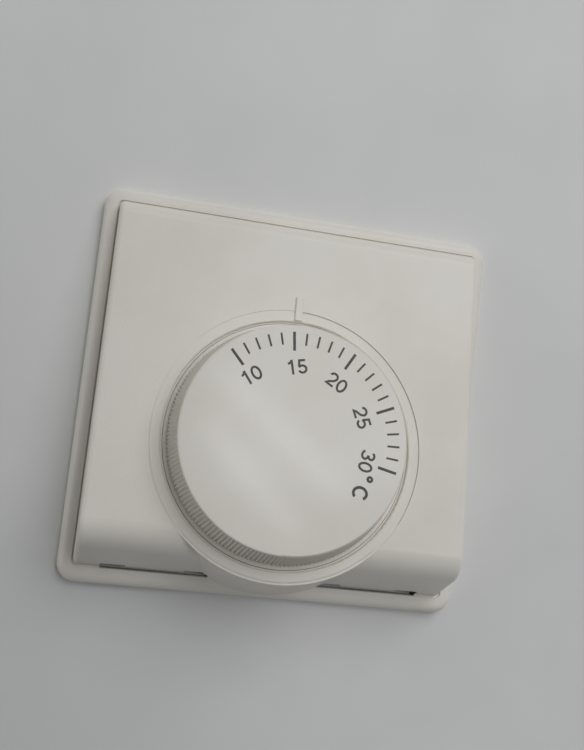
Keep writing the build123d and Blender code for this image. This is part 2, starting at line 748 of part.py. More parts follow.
def turned(points):
    """A solid of revolution about the dial's axis, from points (radius, level)."""
    return on_dial(revolve(Plane.XZ * make_face(Polyline(*points, close=True)), Axis.Z))


def capsule_front_shell():
    rim = CAPSULE_RADIUS
    deck = rim - CAPSULE_STEP
    middle = CAPSULE_TOP - CAPSULE_DEPTH / 2
    return turned(
        [
            (0, NUT_LOW),
            (CAPSULE_BOSS_RADIUS, NUT_LOW),
            (CAPSULE_BOSS_RADIUS, CAPSULE_TOP),
            (deck, CAPSULE_TOP),
            (deck, middle + CAPSULE_METAL),
            (rim, middle + CAPSULE_METAL),
            (rim, middle),
            (deck - CAPSULE_METAL, middle),
            (deck - CAPSULE_METAL, CAPSULE_TOP - CAPSULE_METAL),
            (0, CAPSULE_TOP - CAPSULE_METAL),
        ]
    )


def capsule_rear_shell():
    rim = CAPSULE_RADIUS
    deck = rim - CAPSULE_STEP
    middle = CAPSULE_TOP - CAPSULE_DEPTH / 2 - CAPSULE_METAL / 2
    hole = 2 * PUSHER_RADIUS
    return turned(
        [
            (rim, middle),
            (rim, middle - CAPSULE_METAL),
            (deck, middle - CAPSULE_METAL),
            (deck, CAPSULE_LOW),
            (hole, CAPSULE_LOW),
            (hole, CAPSULE_LOW + CAPSULE_METAL),
            (deck - CAPSULE_METAL, CAPSULE_LOW + CAPSULE_METAL),
            (deck - CAPSULE_METAL, middle),
        ]
    )


def capsule_diaphragm():
    high = CAPSULE_TOP - CAPSULE_DEPTH / 2
    return on_dial(rod(CAPSULE_RADIUS, high - CAPSULE_METAL / 2, high))


def capsule_pusher():
    high = CAPSULE_TOP - CAPSULE_DEPTH / 2 - CAPSULE_METAL / 2
    button = rod(PUSHER_RADIUS, PUSHER_TIP, high)
    tip = button.faces().sort_by(Axis.Z)[0].edges()
    return on_dial(fillet(tip, PUSHER_REACH / 2))


# ---------------------------------------------------------------- switch


def switch_lever():
    """Steel strip: an eye at one end, flat under the capsule, cranked up at its tip."""
    flat = LEVER_LOW + LEVER_SHEET / 2
    tip = TIP_LOW + LEVER_SHEET / 2
    points = [
        (PIVOT_X, flat),
        (CRANK_START, flat),
        (CRANK_START + CRANK_LENGTH, tip),
        (TIP_X + TIP_WIDTH / 2, tip),
    ]
    strip = Rot(0, 0, -90) * bent_strip(points, LEVER_SHEET, LEVER_WIDTH, LEVER_SHEET)
    eye = Pos(PIVOT_X, 0, PIVOT_Z) * Rot(90, 0, 0) * Cylinder(EYE_RADIUS, LEVER_WIDTH)
    bore = Pos(PIVOT_X, 0, PIVOT_Z) * Rot(90, 0, 0) * Cylinder(PIVOT_RADIUS + PIVOT_CLEARANCE, DEEP)
    lever = strip + eye - bore
    return on_dial(lever - rod(SETTER_RADIUS + CLOSE, -DEEP, DEEP, TIP_X))


def lever_pivot_pin():
    length = LEVER_WIDTH + 2 * (EAR_GAP + EAR_THICKNESS)
    return on_dial(Pos(PIVOT_X, 0, PIVOT_Z) * Rot(90, 0, 0) * Cylinder(PIVOT_RADIUS, length))


def calibration_screw():
    length = TIP_TOP - SETTER_LOW
    setter = screw(SETTER_RADIUS, SETTER_HEAD, SETTER_HEAD_HEIGHT, length)
    return on_dial(Pos(TIP_X, 0, TIP_TOP) * setter)


def contact_blade():
    length = BLADE_TIP - BLADE_ROOT + BLADE_CLAMP
    blade = block(BLADE_WIDTH, length, BLADE_LOW, BLADE_TOP, TIP_X, BLADE_TIP - length / 2)
    blade -= rod(SCREW_RADIUS + CLOSE, -DEEP, DEEP, TIP_X, BLADE_SCREW_Y)
    return on_dial(blade - rod(CONTACT_RADIUS / 2 + CLOSE, -DEEP, DEEP, TIP_X, CONTACT_Y))


def moving_contact():
    button = rod(CONTACT_RADIUS, BLADE_TOP, BLADE_TOP + CONTACT_HEIGHT)
    rivet = rod(CONTACT_RADIUS / 2, BLADE_LOW - CONTACT_HEIGHT, BLADE_TOP)
    tail = rod(CONTACT_RADIUS, BLADE_LOW - CONTACT_HEIGHT, BLADE_LOW)
    return on_dial(Pos(TIP_X, CONTACT_Y, 0) * (button + rivet + tail))


def blade_armature():
    """Small iron plate at the blade's tip, for the magnet to pull."""
    y = BLADE_TIP - ARMATURE_LENGTH / 2
    top = BLADE_TOP + ARMATURE_THICKNESS
    return on_dial(block(BLADE_WIDTH, ARMATURE_LENGTH, BLADE_TOP, top, TIP_X, y))


def contact_screws():
    """The two screws that hold the blade and the fixed contact's bracket."""
    fixing = screw(SCREW_RADIUS - CLOSE, HEAD_RADIUS, HEAD_HEIGHT, SCREW_LENGTH - CLOSE)
    blade = Pos(TIP_X, BLADE_SCREW_Y, BLADE_TOP) * fixing
    bracket = Pos(BRACKET_SCREW_X, CONTACT_Y, BRACKET_FOOT + BRACKET_SHEET) * fixing
    return Compound([on_dial(blade), on_dial(bracket)])


def fixed_contact_bracket():
    top = BRACKET_TOP - BRACKET_SHEET / 2
    foot = BRACKET_FOOT + BRACKET_SHEET / 2
    points = [
        (TIP_X - BRACKET_WIDTH / 2, top),
        (BRACKET_LEG, top),
        (BRACKET_LEG, foot),
        (BRACKET_END, foot),
    ]
    strip = Rot(0, 0, -90) * bent_strip(points, BRACKET_SHEET, BRACKET_WIDTH, BRACKET_SHEET)
    strip = Pos(0, CONTACT_Y, 0) * strip
    strip -= rod(SCREW_RADIUS + CLOSE, -DEEP, BRACKET_FOOT + MARGIN, BRACKET_SCREW_X, CONTACT_Y)
    return on_dial(strip - rod(CONTACT_RADIUS / 2 + CLOSE, -DEEP, DEEP, TIP_X, CONTACT_Y))


def fixed_contact():
    button = rod(CONTACT_RADIUS, CONTACT_FACE, BRACKET_LOW)
    rivet = rod(CONTACT_RADIUS / 2, BRACKET_LOW, BRACKET_TOP)
    return on_dial(Pos(TIP_X, CONTACT_Y, 0) * (button + rivet))


def snap_magnet():
    y = BLADE_TIP + MAGNET_GAP + MAGNET_THICKNESS / 2
    low = BLADE_LOW - MAGNET_SINK
    return on_dial(block(MAGNET_LENGTH, MAGNET_THICKNESS, low, low + MAGNET_HEIGHT, TIP_X, y))


# ---------------------------------------------------------------- wiring


def terminal_xs():
    first = TERMINAL_X - (TERMINALS - 1) * TERMINAL_PITCH / 2
    return [first + TERMINAL_PITCH * place for place in range(TERMINALS)]


def terminal_block():
    length = TERMINALS * TERMINAL_PITCH
    body = block(length, TERMINAL_LENGTH, FLOOR, FLOOR + TERMINAL_HEIGHT, TERMINAL_X, TERMINAL_Y)
    chamber = TERMINAL_PITCH - TERMINAL_WALL
    for x in terminal_xs():
        body -= block(
            chamber,
            TERMINAL_LENGTH,
            FLOOR + TERMINAL_WALL,
            FLOOR + TERMINAL_WALL + CLAMP_HEIGHT,
            x,
            TERMINAL_Y + TERMINAL_WALL,
        )
        body -= rod(SCREW_RADIUS + SEAT_GAP, FLOOR + TERMINAL_WALL, DEEP, x, TERMINAL_Y)
        channel = BUSBAR_WIDTH + 2 * BUSBAR_GAP
        body -= block(channel, DEEP, FLOOR - MARGIN, FLOOR + TERMINAL_WALL + CLOSE, x, TERMINAL_Y)
    return body


def terminal_clamps():
    side = TERMINAL_PITCH - TERMINAL_WALL - 2 * CLOSE
    low = FLOOR + TERMINAL_WALL + CLOSE
    high = low + CLAMP_HEIGHT - 2 * CLOSE
    clamps = []
    for x in terminal_xs():
        cage = block(side, TERMINAL_LENGTH / 2, low, high, x, TERMINAL_Y)
        inside = side - 2 * CLAMP_METAL
        cage -= block(inside, DEEP, low + CLAMP_METAL, high - 2 * CLAMP_METAL, x, TERMINAL_Y)
        clamps.append(cage - rod(SCREW_RADIUS, low + CLAMP_METAL, DEEP, x, TERMINAL_Y))
    return Compound(clamps)


def terminal_screws():
    seat = FLOOR + TERMINAL_HEIGHT - HEAD_HEIGHT
    screws = []
    for x in terminal_xs():
        one = rod(SCREW_RADIUS - CLOSE, FLOOR + TERMINAL_HEIGHT / 2, FLOOR + TERMINAL_HEIGHT)
        slot = block(DEEP, SCREW_SLOT, seat + HEAD_HEIGHT / 2, DEEP)
        screws.append(Pos(x, TERMINAL_Y, 0) * (one - slot))
    return Compound(screws)


def flat_bar(points):
    """Flat conductor laid on the floor along points (across, up)."""
    bar = trace(Polyline(*points), line_width=BUSBAR_WIDTH)
    return plate_of(bar, FLOOR, FLOOR + BUSBAR_SHEET)


def riser(x, y, top):
    """Upright end of a conductor, square to the dial, from the floor up to a level."""
    strip = block(BUSBAR_WIDTH, BUSBAR_SHEET, -DEEP / 2, top, x, y)
    return above_floor(on_dial(strip), 0)


def live_busbar():
    """From the third terminal to the fixed contact's bracket."""
    start = terminal_xs()[-2]
    end = CONTACT_Y - BRACKET_WIDTH / 2 - CLOSE - BUSBAR_SHEET / 2
    corner = floor_height(end)
    bar = flat_bar(
        [
            (start, TERMINAL_Y),
            (start, LOWER_LANE),
            (BRACKET_SCREW_X, LOWER_LANE),
            (BRACKET_SCREW_X, corner),
        ]
    )
    return bar + riser(BRACKET_SCREW_X, end, BRACKET_FOOT + BRACKET_SHEET)


def heating_busbar():
    """From the last terminal to the contact blade, with a spur to the resistor."""
    start = terminal_xs()[-1]
    end = BLADE_ROOT - BLADE_CLAMP - CLOSE - BUSBAR_SHEET / 2
    bar = flat_bar(
        [
            (start, TERMINAL_Y),
            (start, UPPER_LANE),
            (TIP_X, UPPER_LANE),
            (TIP_X, floor_height(end)),
        ]
    )
    lead = floor_height(lead_places()[0])
    spur = flat_bar([(RESISTOR_X, UPPER_LANE), (RESISTOR_X, lead + BUSBAR_WIDTH / 2)])
    return bar + spur + riser(TIP_X, end, BLADE_TOP)


def neutral_link():
    """From the second terminal to the resistor's upper lead."""
    start = terminal_xs()[1]
    end = floor_height(lead_places()[1])
    lane = end + 2 * BUSBAR_WIDTH
    return flat_bar(
        [
            (start, TERMINAL_Y),
            (start, lane),
            (RESISTOR_X, lane),
            (RESISTOR_X, end - BUSBAR_WIDTH / 2),
        ]
    )


def lead_places():
    reach = RESISTOR_LENGTH / 2 + 2 * LEAD_RADIUS
    return RESISTOR_Y - reach, RESISTOR_Y + reach


def accelerator_resistor():
    """Small heater beside the capsule: a body lying up the dial, with a bent lead at each end."""
    lying = Pos(RESISTOR_X, RESISTOR_Y, RESISTOR_LEVEL) * Rot(90, 0, 0)
    body = Cylinder(RESISTOR_RADIUS, RESISTOR_LENGTH)
    body = fillet(body.edges().filter_by(GeomType.CIRCLE), LEAD_RADIUS)
    low, high = lead_places()
    leads = lying * Cylinder(LEAD_RADIUS, high - low)
    for y in (low, high):
        leads += rod(LEAD_RADIUS, -DEEP / 2, RESISTOR_LEVEL, RESISTOR_X, y)
        leads += Pos(RESISTOR_X, y, RESISTOR_LEVEL) * Sphere(LEAD_RADIUS)
    room = block(WIDTH, HEIGHT, FLOOR + BUSBAR_SHEET, DEEP)
    return on_dial(lying * body + leads) & room


NODES = {
    "base_plate": base_plate,
    "front_cover": front_cover,
    "cover_screw": cover_screw,
    "dial_knob": dial_knob,
    "knob_clip": knob_clip,
    "setting_spindle": setting_spindle,
    "spindle_clip": spindle_clip,
    "spindle_bush": spindle_bush,
    "mechanism_frame": mechanism_frame,
    "frame_screws": frame_screws,
    "guide_pins": guide_pins,
    "setting_nut": setting_nut,
    "capsule_front_shell": capsule_front_shell,
    "capsule_rear_shell": capsule_rear_shell,
    "capsule_diaphragm": capsule_diaphragm,
    "capsule_pusher": capsule_pusher,
    "switch_lever": switch_lever,
    "lever_pivot_pin": lever_pivot_pin,
    "calibration_screw": calibration_screw,
    "contact_blade": contact_blade,
    "moving_contact": moving_contact,
    "blade_armature": blade_armature,
    "contact_screws": contact_screws,
    "fixed_contact_bracket": fixed_contact_bracket,
    "fixed_contact": fixed_contact,
    "snap_magnet": snap_magnet,
    "terminal_block": terminal_block,
    "terminal_clamps": terminal_clamps,
    "terminal_screws": terminal_screws,
    "live_busbar": live_busbar,
    "heating_busbar": heating_busbar,
    "neutral_link": neutral_link,
    "accelerator_resistor": accelerator_resistor,
}

os.makedirs("parts", exist_ok=True)
for name, make in NODES.items():
    export_step(stand_up(make()), f"parts/{name}.step")
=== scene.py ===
# %% [markdown]
# # A dial room thermostat, finished in Blender
#
# The solid pieces of this thermostat come from the CAD model, at their real size and place. This
# lesson gives them their looks: moulded plastic that is a little warm and a little worn, metal
# that shows how it was made, and the printed scale that the CAD leaves out.
#
# It is written as a notebook. Each step starts with a few sentences on what the piece is and why
# it is made this way, and the cell after it does the work and prints what it made.

import json
from math import cos, pi, radians, sin

import bpy
from mathutils import Matrix, Vector


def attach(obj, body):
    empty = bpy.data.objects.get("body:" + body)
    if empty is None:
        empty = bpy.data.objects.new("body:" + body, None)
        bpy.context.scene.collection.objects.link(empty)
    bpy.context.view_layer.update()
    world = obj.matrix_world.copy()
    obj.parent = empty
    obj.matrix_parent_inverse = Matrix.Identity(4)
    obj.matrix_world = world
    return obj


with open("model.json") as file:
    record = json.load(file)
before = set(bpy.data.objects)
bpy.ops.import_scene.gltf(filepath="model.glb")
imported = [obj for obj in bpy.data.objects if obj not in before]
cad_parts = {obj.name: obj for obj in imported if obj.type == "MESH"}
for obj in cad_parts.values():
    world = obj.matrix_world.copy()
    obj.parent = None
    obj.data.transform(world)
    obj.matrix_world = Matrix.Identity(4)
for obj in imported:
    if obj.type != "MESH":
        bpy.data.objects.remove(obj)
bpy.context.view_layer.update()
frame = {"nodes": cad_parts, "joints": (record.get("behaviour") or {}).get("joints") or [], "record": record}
nodes = frame["nodes"]
joints = {joint["name"]: joint for joint in frame["joints"]}

# %% [markdown]
# ## The dial's own plane
#
# The cover is a wedge, so the dial leans back from the wall's plane. Its hinge in the CAD record
# says where the middle of the dial is and which way it looks. Everything that belongs to the
# knob is drawn flat, as on a sheet of paper, and then put in that plane.

# %% The dial's plane
MM = 0.001


def plane_at(middle, outward):
    """Matrix of a plane whose X runs to the right and whose Z looks outward."""
    z = Vector(outward).normalized()
    x = Vector((1, 0, 0))
    y = z.cross(x)
    turn = Matrix((x, y, z)).transposed().to_4x4()
    return Matrix.Translation(middle) @ turn


dial_plane = plane_at(joints["dial_turn"]["pos_m"], joints["dial_turn"]["axis"])
knob_points = [dial_plane.inverted() @ v.co for v in nodes["dial_knob"].data.vertices]
knob_face = max(point.z for point in knob_points)
knob_reach = max(point.to_2d().length for point in knob_points)
print(f"knob face {knob_face / MM:.2f} mm above the cover, knob radius {knob_reach / MM:.2f} mm")

# %% [markdown]
# ## Camera
#
# The camera stands a hand's breadth in front of the thermostat, a little to its left and a little
# low, and is held slightly askew. Its place and its three angles are enough; a lens of about
# 45 mm keeps the perspective of such a close picture.

# %% Camera
CAMERA_PLACE = Vector((-36.47, -203.94, -9.42)) * MM
CAMERA_YAW = radians(10.666)
CAMERA_PITCH = radians(4.537)
CAMERA_ROLL = radians(6.689)
CAMERA_LENS = 44.65
SENSOR_WIDTH = 36
CLIP_START = 0.01

bpy.ops.object.camera_add(location=CAMERA_PLACE)
camera = bpy.context.object
camera.name = "camera"
aim = Matrix.Rotation(-CAMERA_YAW, 3, "Z") @ Matrix.Rotation(pi / 2 + CAMERA_PITCH, 3, "X")
camera.rotation_euler = (aim @ Matrix.Rotation(CAMERA_ROLL, 3, "Z")).to_euler()
camera.data.sensor_width = SENSOR_WIDTH
camera.data.lens = CAMERA_LENS
camera.data.clip_start = CLIP_START
bpy.context.scene.camera = camera
print(f"camera at {tuple(round(c, 4) for c in camera.location)}")

# %% [markdown]
# ## Small helpers for shader nodes
#
# A material is a small graph. Three helpers keep the cells below short: one adds a node with its
# settings, one joins two sockets, and one starts a material with its Principled shader.

# %% Helpers for shader nodes


def add_node(tree, kind, **settings):
    made = tree.nodes.new(kind)
    for name, value in settings.items():
        setattr(made, name, value)
    return made


def join(tree, source, target):
    tree.links.new(source, target)


def new_material(name, **values):
    """A material with a Principled shader, whose even values are set on its own sockets."""
    made = bpy.data.materials.new(name)
    made.use_nodes = True
    tree = made.node_tree
    shader = tree.nodes["Principled BSDF"]
    for socket, value in values.items():
        shader.inputs[socket.replace("_", " ")].default_value = value
    return made, tree, shader


def new_group(name, inputs, outputs):
    """An empty shader node group with named float or colour sockets."""
    made = bpy.data.node_groups.new(name, "ShaderNodeTree")
    for socket, (kind, value) in inputs.items():
        item = made.interface.new_socket(socket, in_out="INPUT", socket_type=kind)
        item.default_value = value
    for socket, kind in outputs.items():
        made.interface.new_socket(socket, in_out="OUTPUT", socket_type=kind)
    start = add_node(made, "NodeGroupInput")
    end = add_node(made, "NodeGroupOutput")
    return made, start, end


def use_group(tree, group, **values):
    made = add_node(tree, "ShaderNodeGroup", node_tree=group)
    for socket, value in values.items():
        made.inputs[socket.replace("_", " ")].default_value = value
    return made


FLOAT = "NodeSocketFloat"
COLOUR = "NodeSocketColor"
print("helpers ready")

# %% [markdown]
# ## Effects that the finishes share
#
# Moulded plastic copies its mould: a fine, even grain over very slow waves, which breaks up the
# edge of every highlight. Two noises added together give both. The same plastic is never one
# even colour either: it yellows and gathers dust in soft patches, which a large noise between
# two close colours gives. Both effects are node groups, so that every plastic uses the same
# recipe with its own numbers.

# %% Moulded grain
GRAIN_SCALE, GRAIN_DETAIL = 2600.0, 2.0
WAVE_SCALE, WAVE_DETAIL = 90.0, 1.0
WAVE_SHARE = 0.6


def make_grain_group():
    group, start, end = new_group(
        "moulded grain",
        {
            "Grain Scale": (FLOAT, GRAIN_SCALE),
            "Wave Scale": (FLOAT, WAVE_SCALE),
            "Wave Share": (FLOAT, WAVE_SHARE),
        },
        {"Height": FLOAT},
    )
    place = add_node(group, "ShaderNodeTexCoord")
    grain = add_node(group, "ShaderNodeTexNoise")
    grain.inputs["Detail"].default_value = GRAIN_DETAIL
    wave = add_node(group, "ShaderNodeTexNoise")
    wave.inputs["Detail"].default_value = WAVE_DETAIL
    mix = add_node(group, "ShaderNodeMix", data_type="FLOAT")
    join(group, place.outputs["Object"], grain.inputs["Vector"])
    join(group, place.outputs["Object"], wave.inputs["Vector"])
    join(group, start.outputs["Grain Scale"], grain.inputs["Scale"])
    join(group, start.outputs["Wave Scale"], wave.inputs["Scale"])
    join(group, start.outputs["Wave Share"], mix.inputs["Factor"])
    join(group, grain.outputs["Fac"], mix.inputs["A"])
    join(group, wave.outputs["Fac"], mix.inputs["B"])
    join(group, mix.outputs["Result"], end.inputs["Height"])
    return group


moulded_grain = make_grain_group()
print("group:", moulded_grain.name)

# %% Soft patches of a second colour
PLAIN_GREY = (0.8, 0.8, 0.8, 1)
PATCH_GREY = (0.7, 0.7, 0.7, 1)
PATCH_SCALE, PATCH_DETAIL, PATCH_BREAKUP = 40.0, 4.0, 0.6
PATCH_FROM, PATCH_TO = 0.35, 0.7


def make_patch_group():
    group, start, end = new_group(
        "soft patches",
        {
            "Colour": (COLOUR, PLAIN_GREY),
            "Patch Colour": (COLOUR, PATCH_GREY),
            "Patch Scale": (FLOAT, PATCH_SCALE),
        },
        {"Colour": COLOUR, "Mask": FLOAT},
    )
    place = add_node(group, "ShaderNodeTexCoord")
    noise = add_node(group, "ShaderNodeTexNoise")
    noise.inputs["Detail"].default_value = PATCH_DETAIL
    noise.inputs["Roughness"].default_value = PATCH_BREAKUP
    spread = add_node(group, "ShaderNodeMapRange", interpolation_type="SMOOTHSTEP")
    spread.inputs["From Min"].default_value = PATCH_FROM
    spread.inputs["From Max"].default_value = PATCH_TO
    mix = add_node(group, "ShaderNodeMix", data_type="RGBA")
    join(group, place.outputs["Object"], noise.inputs["Vector"])
    join(group, start.outputs["Patch Scale"], noise.inputs["Scale"])
    join(group, noise.outputs["Fac"], spread.inputs["Value"])
    join(group, spread.outputs["Result"], mix.inputs["Factor"])
    join(group, start.outputs["Colour"], mix.inputs["A"])
    join(group, start.outputs["Patch Colour"], mix.inputs["B"])
    join(group, mix.outputs["Result"], end.inputs["Colour"])
    join(group, spread.outputs["Result"], end.inputs["Mask"])
    return group


soft_patches = make_patch_group()
print("group:", soft_patches.name)

# %% [markdown]
# ## Painted shade in the vents
#
# The two vents at the foot are deep, narrow channels that lie in shade, so their walls get a painted
# shade, nearly black, in their colour. It lies by place, not by chance: a mask is 1 inside a few
# boxes and 0 outside them. The two vents mirror each other, so one set of boxes serves both, read
# with X made positive. The painted shade reaches farther forward at a channel's two ends. On its
# outer wall it lies only far inside, so the edge there still catches the light. Y grows towards the
# wall that the case hangs on.

# %% A mask for the vents


def combine(tree, kind, first, second):
    both = add_node(tree, "ShaderNodeMath", operation=kind)
    join(tree, first, both.inputs[0])
    join(tree, second, both.inputs[1])
    return both.outputs["Value"]


def within(tree, source, low, high):
    """1 where a value lies between two limits, and 0 elsewhere."""
    above = add_node(tree, "ShaderNodeMath", operation="GREATER_THAN")
    above.inputs[1].default_value = low
    below = add_node(tree, "ShaderNodeMath", operation="LESS_THAN")
    below.inputs[1].default_value = high
    join(tree, source, above.inputs[0])
    join(tree, source, below.inputs[0])
    return combine(tree, "MULTIPLY", above.outputs["Value"], below.outputs["Value"])


VENT_NEAR, VENT_FAR = 11.95 * MM, 34.65 * MM
VENT_NEAR_END, VENT_FAR_END = 17.05 * MM, 29.55 * MM
BEHIND_BACK = 1.0 * MM
CHANNEL_DEPTH = (-4.15 * MM, BEHIND_BACK)
END_DEPTH = (-5.05 * MM, BEHIND_BACK)
WALL_DEPTH = (-2.4 * MM, BEHIND_BACK)
CHANNEL_Z = (-38.45 * MM, -36.9 * MM)
WALL_Z = (-38.62 * MM, -38.44 * MM)
VENT_BOXES = [
    ((VENT_NEAR, VENT_FAR), CHANNEL_DEPTH, CHANNEL_Z),
    ((VENT_NEAR, VENT_NEAR_END), END_DEPTH, CHANNEL_Z),
    ((VENT_FAR_END, VENT_FAR), END_DEPTH, CHANNEL_Z),
    ((VENT_NEAR, VENT_FAR), WALL_DEPTH, WALL_Z),
]


# Mask of the painted shade: 1 inside the deep vent channels, whose colour is made nearly black.
def make_vent_group():
    group, start, end = new_group("vent painted shade", {}, {"Mask": FLOAT})
    place = add_node(group, "ShaderNodeTexCoord")
    parts = add_node(group, "ShaderNodeSeparateXYZ")
    join(group, place.outputs["Object"], parts.inputs["Vector"])
    side = add_node(group, "ShaderNodeMath", operation="ABSOLUTE")
    join(group, parts.outputs["X"], side.inputs[0])
    whole = None
    for x_limits, y_limits, z_limits in VENT_BOXES:
        box = within(group, side.outputs["Value"], *x_limits)
        box = combine(group, "MULTIPLY", box, within(group, parts.outputs["Y"], *y_limits))
        box = combine(group, "MULTIPLY", box, within(group, parts.outputs["Z"], *z_limits))
        whole = combine(group, "MAXIMUM", whole, box) if whole else box
    join(group, whole, end.inputs["Mask"])
    return group


vent_painted_shade = make_vent_group()
print("group:", vent_painted_shade.name)

# %% [markdown]
# ## Plastic finishes
#
# The case is warm white plastic with a satin surface. The knob is the same plastic, polished a
# little more on its face. The roughness isn't even: where the patches lie the surface is a touch
# duller, as plastic is where hands and dust have been. Grain depths are in metres.

# %% Plastic finishes
COAT_ROUGHNESS = 0.11
PLASTIC_SHINE = 0.25
# colour of the painted shade deep in the vent channels
PAINTED_VENT_SHADE = (0.018, 0.017, 0.016, 1)


def plastic(name, colour, patch_colour, roughness, duller, grain_depth, coat=0.0, **grain):
    """Satin plastic: two close colours in patches, painted shade in the vents, and a moulded grain."""
    made, tree, shader = new_material(name, Roughness=roughness, Coat_Weight=coat)
    shader.inputs["Coat Roughness"].default_value = COAT_ROUGHNESS
    shader.inputs["Specular IOR Level"].default_value = PLASTIC_SHINE
    tint = use_group(tree, soft_patches, Colour=colour, Patch_Colour=patch_colour)
    # painted shade: where the vent mask is 1, the colour turns nearly black, standing in for the shade in
    # the channels
    vent_shading = add_node(tree, "ShaderNodeMix", data_type="RGBA")
    vent_shading.inputs["B"].default_value = PAINTED_VENT_SHADE
    join(tree, use_group(tree, vent_painted_shade).outputs["Mask"], vent_shading.inputs["Factor"])
    join(tree, tint.outputs["Colour"], vent_shading.inputs["A"])
    join(tree, vent_shading.outputs["Result"], shader.inputs["Base Color"])
    dull = add_node(tree, "ShaderNodeMapRange")
    dull.inputs["To Min"].default_value = roughness
    dull.inputs["To Max"].default_value = roughness + duller
    join(tree, tint.outputs["Mask"], dull.inputs["Value"])
    join(tree, dull.outputs["Result"], shader.inputs["Roughness"])
    texture = use_group(tree, moulded_grain, **grain)
    bump = add_node(tree, "ShaderNodeBump")
    bump.inputs["Distance"].default_value = grain_depth
    join(tree, texture.outputs["Height"], bump.inputs["Height"])
    join(tree, bump.outputs["Normal"], shader.inputs["Normal"])
    return made


CASE_WHITE = (0.80, 0.775, 0.71, 1)
CASE_DUST = (0.765, 0.735, 0.665, 1)
KNOB_WHITE = (0.76, 0.735, 0.67, 1)
KNOB_DUST = (0.73, 0.70, 0.63, 1)
BLACK = (0.03, 0.03, 0.032, 1)
BLACK_DUST = (0.05, 0.05, 0.05, 1)
BROWN = (0.24, 0.05, 0.025, 1)
BROWN_DUST = (0.30, 0.08, 0.04, 1)
SATIN, SATIN_DULLER = 0.36, 0.08
FINE_GRAIN = 0.00004
finishes = {}
finishes["casing"] = plastic(
    "case plastic",
    CASE_WHITE,
    CASE_DUST,
    roughness=SATIN,
    duller=SATIN_DULLER,
    grain_depth=0.00005,
    coat=0.15,
    Wave_Scale=110.0,
)
finishes["knob"] = plastic(
    "knob plastic",
    KNOB_WHITE,
    KNOB_DUST,
    roughness=SATIN,
    duller=SATIN_DULLER,
    grain_depth=FINE_GRAIN,
    coat=0.5,
    Wave_Scale=WAVE_SCALE,
)
finishes["terminal_plastic"] = plastic(
    "black plastic", BLACK, BLACK_DUST, roughness=0.42, duller=0.12, grain_depth=FINE_GRAIN
)
finishes["pusher_plastic"] = plastic(
    "brown plastic", BROWN, BROWN_DUST, roughness=0.40, duller=0.10, grain_depth=FINE_GRAIN
)
print("plastic finishes:", len(finishes))

# %% [markdown]
# ## Metal finishes
#
# Metal shows its making. Rolled strip has fine scratches along one direction, which a noise
# stretched far along one axis gives; turned parts have rings round their axis. Both are the same
# noise, read through a Mapping node that squeezes one axis. A second, larger noise tarnishes the
# colour and dulls the shine in patches.

# %% Metal finishes
TARNISH_SCALE = 260.0
SCRATCH_DETAIL = 3.0
SCRATCH_DEPTH = 0.00002


def metal(name, colour, tarnish, roughness, duller, stretch):
    """Bare metal, tarnished in patches, with scratches along the axis of the smallest scale."""
    made, tree, shader = new_material(name, Roughness=roughness, Metallic=1.0)
    tint = use_group(
        tree, soft_patches, Colour=colour, Patch_Colour=tarnish, Patch_Scale=TARNISH_SCALE
    )
    join(tree, tint.outputs["Colour"], shader.inputs["Base Color"])
    place = add_node(tree, "ShaderNodeTexCoord")
    squeeze = add_node(tree, "ShaderNodeMapping")
    squeeze.inputs["Scale"].default_value = stretch
    scratches = add_node(tree, "ShaderNodeTexNoise")
    scratches.inputs["Scale"].default_value = 1.0
    scratches.inputs["Detail"].default_value = SCRATCH_DETAIL
    join(tree, place.outputs["Object"], squeeze.inputs["Vector"])
    join(tree, squeeze.outputs["Vector"], scratches.inputs["Vector"])
    dull = add_node(tree, "ShaderNodeMapRange")
    dull.inputs["To Min"].default_value = roughness
    dull.inputs["To Max"].default_value = roughness + duller
    join(tree, scratches.outputs["Fac"], dull.inputs["Value"])
    join(tree, dull.outputs["Result"], shader.inputs["Roughness"])
    bump = add_node(tree, "ShaderNodeBump")
    bump.inputs["Distance"].default_value = SCRATCH_DEPTH
    join(tree, scratches.outputs["Fac"], bump.inputs["Height"])
    join(tree, bump.outputs["Normal"], shader.inputs["Normal"])
    return made


ALONG_X = (300.0, 5000.0, 5000.0)
ALONG_Z = (5000.0, 5000.0, 300.0)
EVEN = (2500.0, 2500.0, 2500.0)
# each row: colour, colour of the tarnish, roughness, how much duller in places, scratches
METALS = {
    "spring_steel": ((0.22, 0.23, 0.26, 1), (0.30, 0.28, 0.27, 1), 0.28, 0.15, ALONG_X),
    "turned_steel": ((0.58, 0.58, 0.58, 1), (0.48, 0.47, 0.46, 1), 0.22, 0.18, ALONG_X),
    "zinc_steel": ((0.62, 0.60, 0.54, 1), (0.50, 0.50, 0.50, 1), 0.30, 0.20, ALONG_Z),
    "screw_steel": ((0.60, 0.60, 0.60, 1), (0.48, 0.48, 0.47, 1), 0.24, 0.20, EVEN),
    "brass_turned": ((0.72, 0.50, 0.20, 1), (0.55, 0.36, 0.15, 1), 0.22, 0.20, ALONG_X),
    "brass_strip": ((0.75, 0.54, 0.23, 1), (0.56, 0.38, 0.17, 1), 0.26, 0.20, ALONG_X),
    "bronze_sheet": ((0.66, 0.34, 0.16, 1), (0.50, 0.26, 0.13, 1), 0.26, 0.18, ALONG_Z),
    "capsule_metal": ((0.66, 0.66, 0.64, 1), (0.55, 0.55, 0.53, 1), 0.20, 0.15, ALONG_X),
    "silver_contact": ((0.86, 0.85, 0.82, 1), (0.66, 0.64, 0.60, 1), 0.18, 0.20, EVEN),
    "magnet_iron": ((0.16, 0.16, 0.17, 1), (0.24, 0.22, 0.20, 1), 0.45, 0.20, EVEN),
}
for slot_name, values in METALS.items():
    finishes[slot_name] = metal(slot_name.replace("_", " "), *values)
print("metal finishes:", len(METALS))

# %% [markdown]
# ## Ceramic finishes
#
# The magnet is pressed from a dark powder and the small heater is lacquered ceramic. Both use the
# same recipe as plastic, an even body with patches and a grain, but the grain is coarser.

